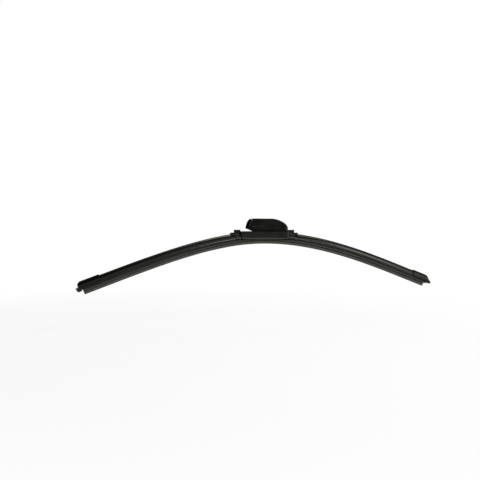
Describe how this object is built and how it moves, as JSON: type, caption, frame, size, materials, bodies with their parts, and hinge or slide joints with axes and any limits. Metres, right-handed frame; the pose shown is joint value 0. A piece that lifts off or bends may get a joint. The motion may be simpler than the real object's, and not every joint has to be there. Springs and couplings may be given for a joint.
{
  "type": "wiper blade",
  "caption": "Flat wiper blade: a bowed rubber squeegee under a spoiler with end caps, carried at mid-length by a rocking adapter whose rounded hood takes the wiper arm.",
  "frame": {"origin": "middle of the arm socket's height and width, straight above the pivot pin", "axes": "+X along the blade away from the socket's mouth, towards its longer half, -Y towards the spoiler's hollow wind side, +Z away from the glass"},
  "size_m": [0.6006, 0.0214, 0.1148],
  "materials": {
    "rubber": "matt black wiping rubber",
    "spoiler": "extruded soft black plastic with a faint sheen",
    "cap": "moulded black plastic",
    "base": "finely grained black plastic",
    "hood": "finely grained black plastic",
    "core": "plain black plastic",
    "rail": "spring steel strip",
    "clamp": "zinc plated sheet steel",
    "pin": "drawn steel"
  },
  "bodies": {
    "arm_side": {"adapter_core": "core", "hood_cover": "hood"},
    "blade": {"wiper_rubber": "rubber", "spring_rail_front": "rail", "spring_rail_rear": "rail", "spoiler_left": "spoiler", "spoiler_right": "spoiler", "end_cap_left": "cap", "end_cap_right": "cap", "rail_clamp": "clamp", "pivot_pin": "pin", "base_housing": "base"}
  },
  "joints": [
    {"name": "blade_pivot", "type": "hinge", "parent": "arm_side", "child": "blade", "pos_m": [0, 0, -0.01225], "axis": [0, 1, 0], "range_deg": [-6, 10]}
  ]
}
